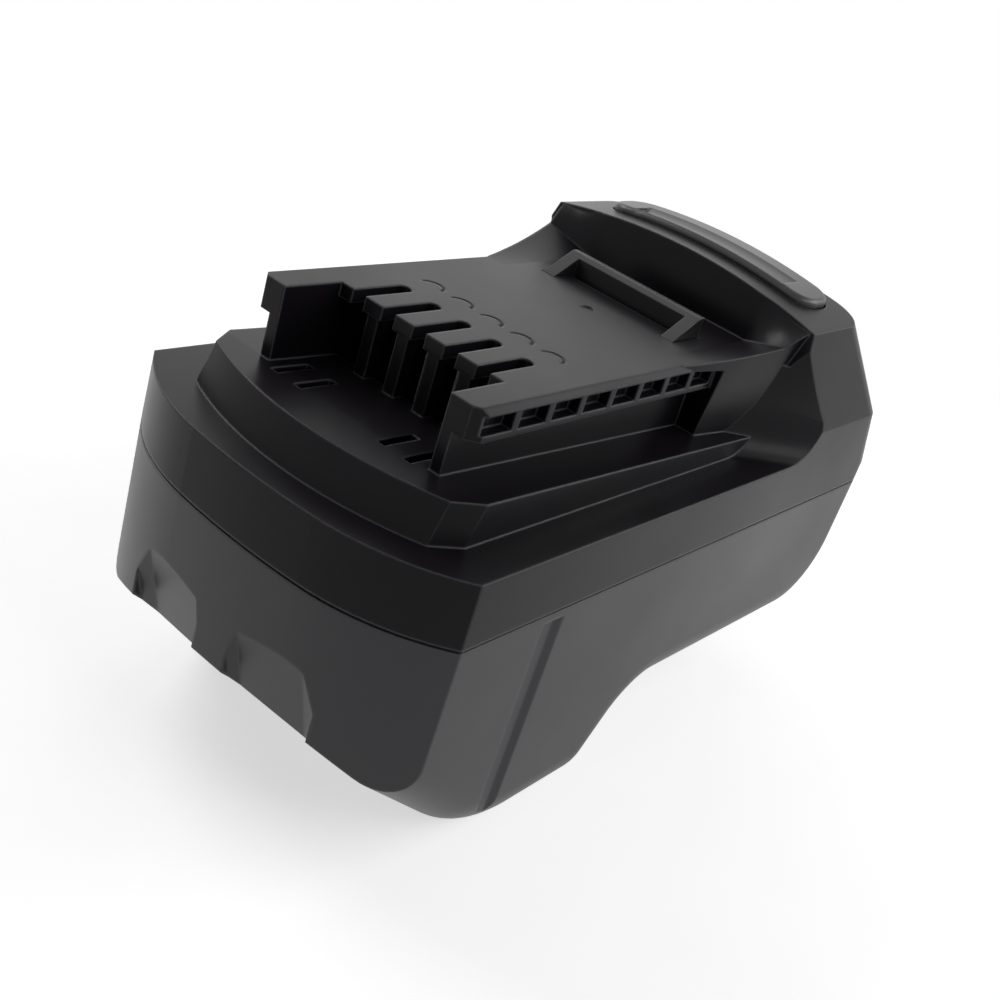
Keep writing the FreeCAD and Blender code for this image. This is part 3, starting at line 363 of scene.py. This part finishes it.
# Circuit board: glass-fibre laminate under dark green solder resist, with etched copper tracks.
# The tracks show through the resist as lighter lines, 2.4 mm apart, that stand up from it a little.
resist_greens = ("143d26", "16442a")
track_green = "2b6b41"
laminate, tree = new_material("glass_fibre_laminate_green_resist")
place = add(tree, "ShaderNodeTexCoord").outputs["Object"]
tracks = add(tree, "ShaderNodeTexBrick", {"offset": 0.5},
             {"Scale": 1.0, "Mortar Size": 0.00018, "Mortar Smooth": 0.3, "Brick Width": 0.0140,
              "Row Height": 0.0024, "Color1": linear(resist_greens[0]), "Color2": linear(resist_greens[1]),
              "Mortar": linear(track_green)}, {"Vector": place})
bump = add(tree, "ShaderNodeBump", values={"Strength": 0.6, "Distance": 0.00003},
           links={"Height": tracks.outputs["Fac"]})
shader = add(tree, "ShaderNodeBsdfPrincipled", values={"Roughness": 0.28, "IOR": 1.5},
             links={"Base Color": tracks.outputs["Color"], "Normal": bump.outputs["Normal"]})
add(tree, "ShaderNodeOutputMaterial", links={"Surface": shader.outputs[0]})
dress(laminate, "circuit_board")


# Temperature sensor: thermistor bead between two cells, with its lead up to the board.
# It is dipped in dark epoxy, which sets glossy and slightly uneven.
epoxy = moulded_plastic("dark_epoxy_dip", "1e2a3a", rough=0.22, grain_mm=1.2, grain_depth_mm=0.03,
                        edge_mm=0.2)
dress(epoxy, "temperature_sensor")


# Contact block: black PBT, moulded smooth, that stands on the board under the five slots.
# It is a little duller than the latch, with crisper edges.
pbt = moulded_plastic("black_pbt_smooth_moulding", "1b1a1c", rough=0.42, grain_mm=0.3, grain_depth_mm=0.006,
                      edge_mm=0.2)
dress(pbt, "contact_block")


# Fork contacts: tinned copper alloy strip, punched and folded into two leaves that grip a blade.
# The tin is pale and satin, with fine rolling marks along the leaves.
tinned = rolled_metal("tinned_copper_alloy_strip", bright="b9b4ab", dull="98938a", rough=0.35, line_mm=0.3,
                      stretch=(1.0, 0.1, 1.0))
dress(tinned, *["fork_contact_%d" % k for k in range(1, 6)])


# Latch springs: coils of hard-drawn square steel wire, each on a post of a cell holder under the
# latch carrier. Drawing leaves fine marks on the grey steel. Pressing the button shortens both;
# each here is a smooth-shaded copy of the coil that rides with the housing.
spring_steel = rolled_metal("drawn_spring_steel_wire", bright="8f8f8d", dull="6f6f6e", rough=0.34,
                            line_mm=0.3, stretch=(1.0, 1.0, 0.3))
for side in ("left", "right"):
    spring_form = bmesh.new()
    spring_form.from_mesh(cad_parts["latch_spring_" + side].data)
    bmesh.ops.remove_doubles(spring_form, verts=spring_form.verts, dist=1e-6)
    for face in spring_form.faces:
        face.smooth = True
    across = sum(vert.co.x for vert in spring_form.verts) / len(spring_form.verts)
    spring_mesh = bpy.data.meshes.new("coiled_spring_" + side)
    spring_form.to_mesh(spring_mesh)
    spring_form.free()
    spring = bpy.data.objects.new("coiled_spring_" + side, spring_mesh)
    bpy.context.scene.collection.objects.link(spring)
    spring.data.materials.clear()
    spring.data.materials.append(spring_steel)
    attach(spring, "housing")
    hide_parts("latch_spring_" + side)
    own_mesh(spring)


# Latch: black acetal wedge and carrier, moulded smooth so that it slides in the top shell.
# Acetal has a waxy gloss: it mirrors more than the top shell round it, but less sharply.
acetal = moulded_plastic("black_acetal_smooth_moulding", "19181a", rough=0.38, grain_mm=0.25,
                         grain_depth_mm=0.004, edge_mm=0.35, shine=0.4)
dress(acetal, "latch")


# Release button: black nylon, moulded with a satin surface and fixed on the two posts of the latch.
# Thumbs keep it smooth, so it mirrors more of the room than the shell round it.
button_nylon = moulded_plastic("black_nylon_satin_moulding", "1f1d20", rough=0.34, grain_mm=0.30,
                               grain_depth_mm=0.006, edge_mm=0.4)
dress(button_nylon, "release_button")


# Top shell: the same glass-filled nylon as the bottom shell, from a tool with a finer, satin surface.
# It is nearly black seen squarely and turns grey where it mirrors the white room at a low angle. Its
# edges are painted pale as a painted highlight. Its grain is drawn 0.3 mm wide so that it shows.
satin_nylon = moulded_plastic("black_glass_filled_nylon_satin_tool", "151216", rough=0.32, grain_mm=0.30,
                              grain_depth_mm=0.005, edge_mm=0.65, shine=0.12, edge_highlight_colour="66646a")
dress(satin_nylon, "top_shell")


# Housing screws: zinc-plated steel, thread-forming, driven from below to join the two shells.
# Their heads are sunk deep in the bottom shell. Zinc gives them a bluish, slightly patchy shine.
zinc = rolled_metal("zinc_plated_steel", bright="a9adb0", dull="8d9194", rough=0.3, line_mm=0.6,
                    stretch=(1.0, 1.0, 1.0))
dress(zinc, "housing_screws")
